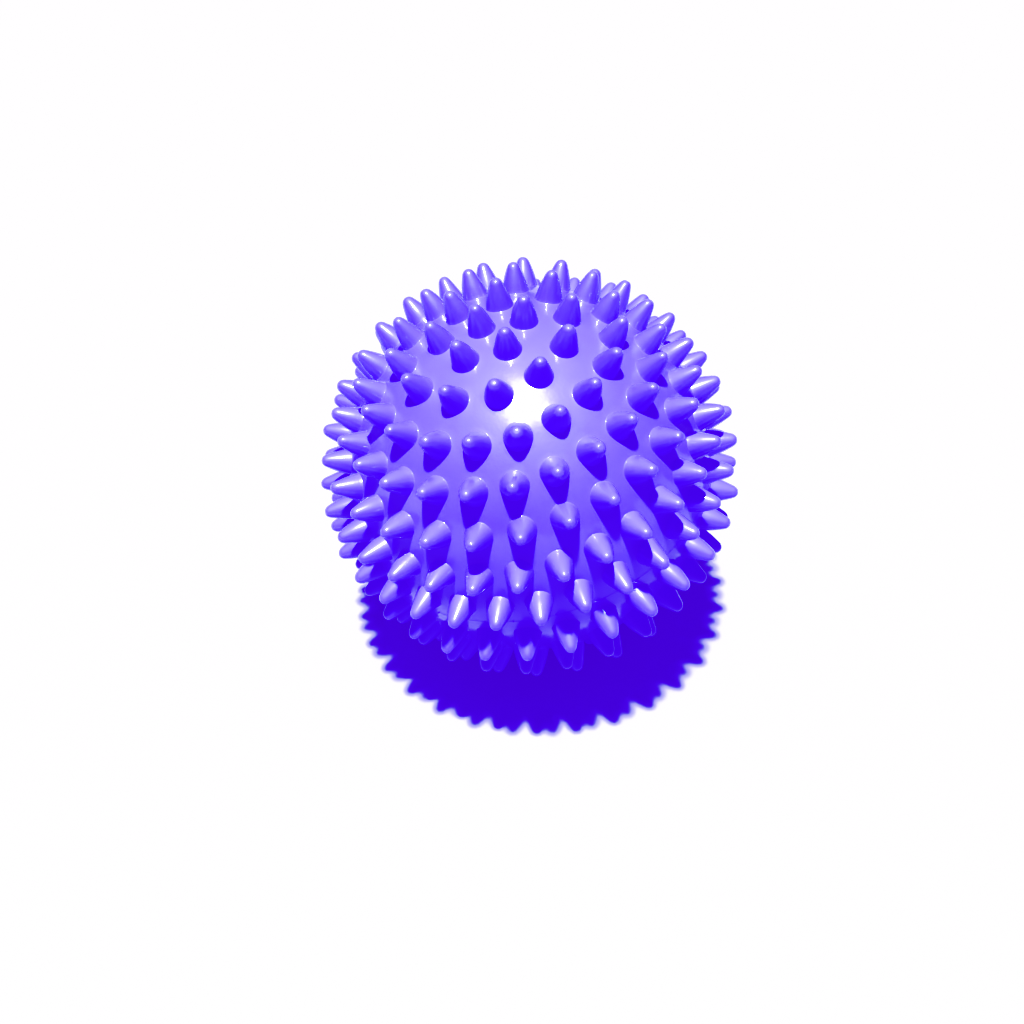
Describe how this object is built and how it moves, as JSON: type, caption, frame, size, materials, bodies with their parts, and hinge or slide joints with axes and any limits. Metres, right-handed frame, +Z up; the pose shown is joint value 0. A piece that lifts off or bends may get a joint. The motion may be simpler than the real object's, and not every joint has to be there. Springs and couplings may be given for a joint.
{
  "type": "massage ball",
  "caption": "Hollow spiky massage ball: a soft two-part moulded skin covered in short blunt cone spikes, with a flush rubber valve and a pull-out plug.",
  "frame": {"origin": "centre of the ball", "axes": "+Z is up as the ball lies on a table, leaning about 14 degrees off the pole of its spike pattern towards -X; -Y is the front, and the valve faces +Y and down"},
  "size_m": [0.0898, 0.0896, 0.0897],
  "materials": {
    "skin": "glossy soft PVC, smooth moulded, blue-violet",
    "valve_rubber": "satin rubber",
    "plug": "semi-gloss moulded plastic"
  },
  "bodies": {
    "ball": {"upper_half_shell": "skin", "lower_half_shell": "skin", "valve_body": "valve_rubber"},
    "plug": {"valve_plug": "plug"}
  },
  "joints": [
    {"name": "plug_pull", "type": "slide", "parent": "ball", "child": "plug", "axis": [0.0308, 0.9183, -0.3946], "range_m": [0, 0.014]}
  ]
}
